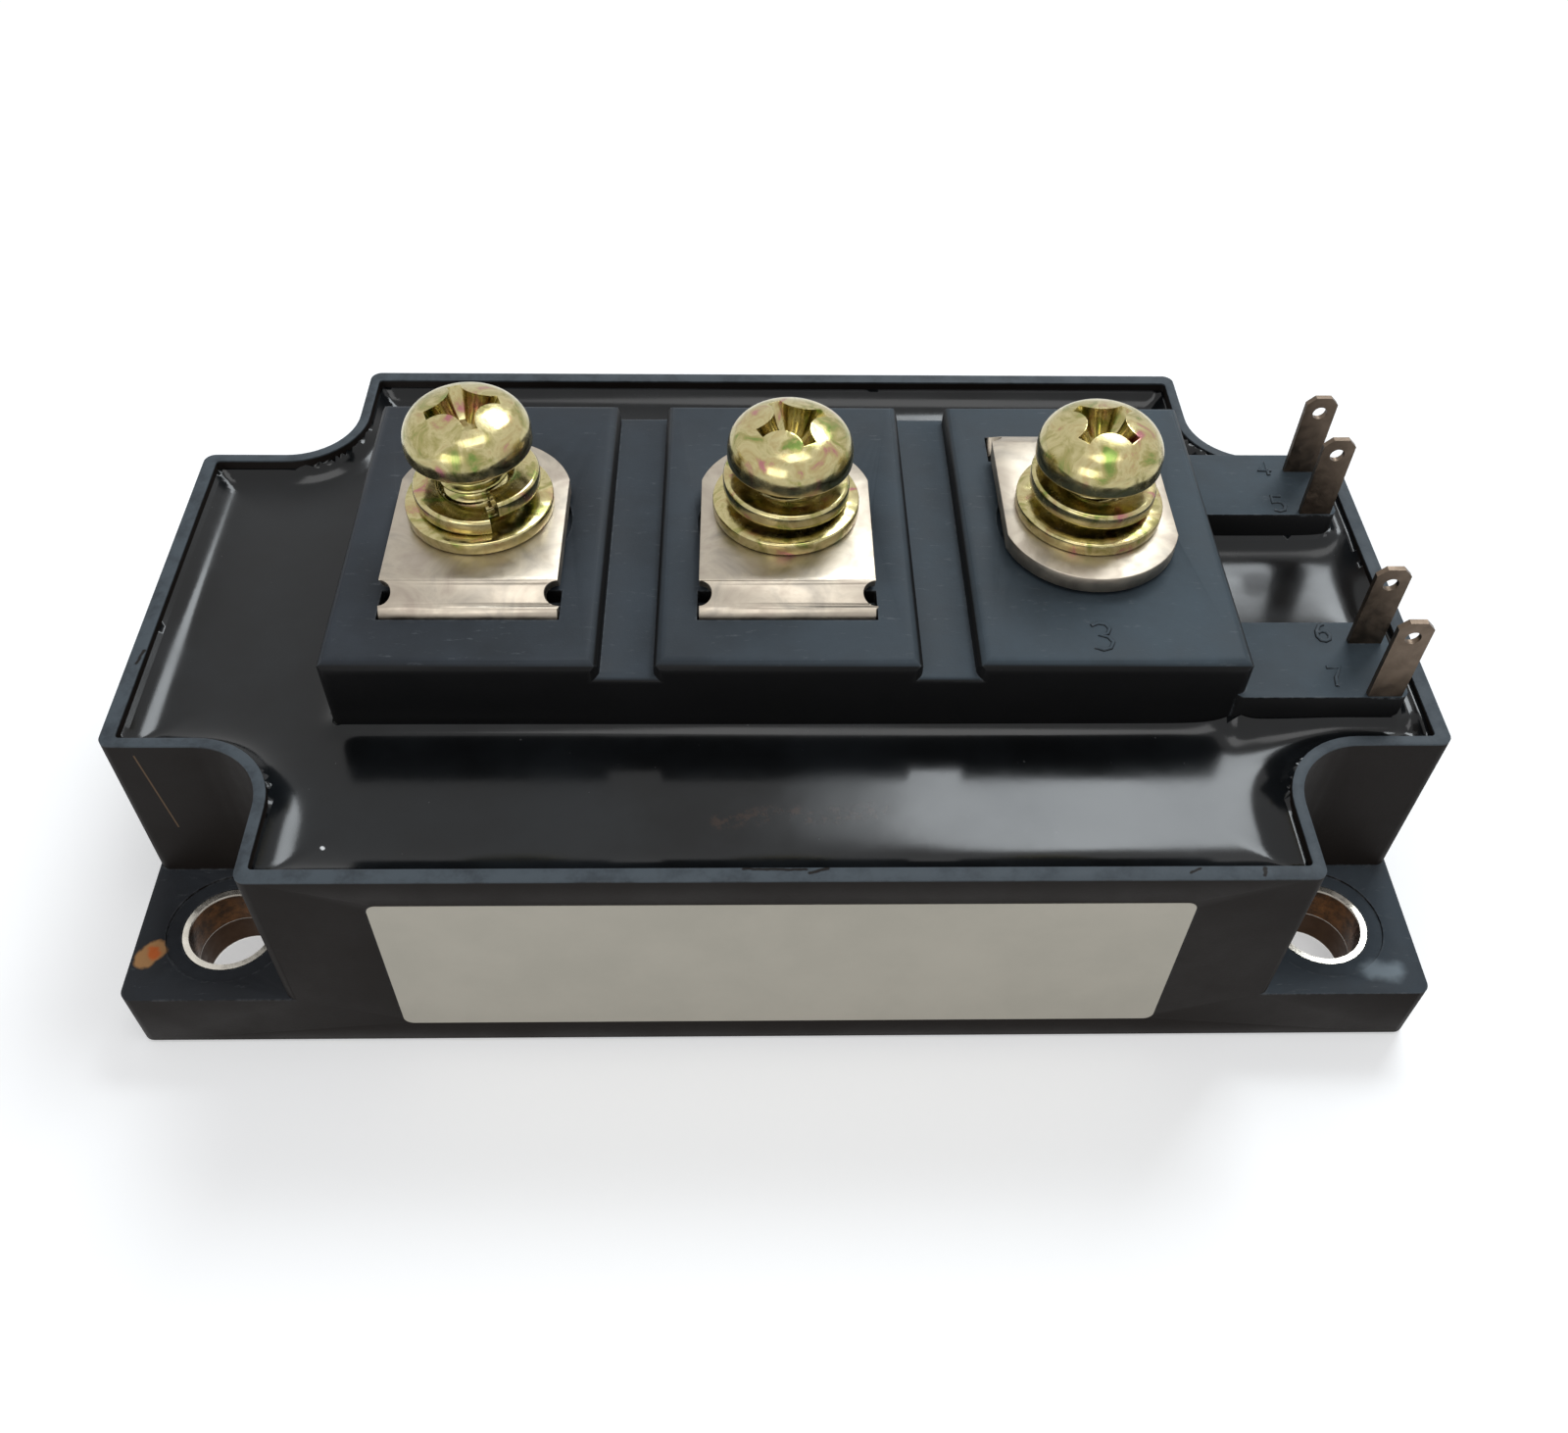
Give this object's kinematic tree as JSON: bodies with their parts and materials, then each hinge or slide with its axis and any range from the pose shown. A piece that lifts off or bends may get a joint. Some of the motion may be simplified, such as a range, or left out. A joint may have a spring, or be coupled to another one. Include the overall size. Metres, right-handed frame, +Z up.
{
  "type": "igbt module",
  "caption": "Flat rectangular power module: metal base, dark plastic housing with notched corners, a raised block with screw terminals, and thin push-on control tabs.",
  "frame": {"origin": "centre of the mounting face, on the underside of the base plate", "axes": "+Z up from the heat sink face, +X along the module towards the control tabs, +Y towards the back, away from the labelled wall"},
  "size_m": [0.108, 0.062, 0.041],
  "materials": {
    "case_plastic": "matte",
    "block_plastic": "matte",
    "potting_resin": "gloss",
    "gel": "translucent, soft",
    "base_nickel": "nickel plated copper, satin",
    "terminal_nickel": "nickel plated copper, satin",
    "sleeve_metal": "satin",
    "nut_steel": "zinc plated",
    "yellow_zinc": "yellow chromated zinc, satin",
    "tab_bronze": "tarnished",
    "copper": "bare copper",
    "solder": "satin",
    "ceramic": "matte",
    "silicon": "polished",
    "aluminium_wire": "drawn",
    "label_paper": "matte film"
  },
  "bodies": {
    "root": {"case": "case_plastic", "base_plate": "base_nickel", "mount_sleeve_1": "sleeve_metal", "mount_sleeve_2": "sleeve_metal", "mount_sleeve_3": "sleeve_metal", "mount_sleeve_4": "sleeve_metal", "epoxy_resin": "potting_resin", "silicone_gel": "gel", "terminal_block": "block_plastic", "main_terminal_1": "terminal_nickel", "main_terminal_2": "terminal_nickel", "main_terminal_3": "terminal_nickel", "terminal_nuts": "nut_steel", "flat_washers": "yellow_zinc", "spring_washers": "yellow_zinc", "terminal_screws": "yellow_zinc", "control_tab_1": "tab_bronze", "control_tab_2": "tab_bronze", "control_tab_3": "tab_bronze", "control_tab_4": "tab_bronze", "control_leads": "copper", "label": "label_paper", "substrate_solder": "solder", "backing_foil_1": "copper", "backing_foil_2": "copper", "ceramic_1": "ceramic", "ceramic_2": "ceramic", "copper_tracks_1": "copper", "copper_tracks_2": "copper", "igbt_chips": "silicon", "diode_chips": "silicon", "bond_wires": "aluminium_wire", "gate_jumpers": "aluminium_wire"}
  },
  "joints": []
}
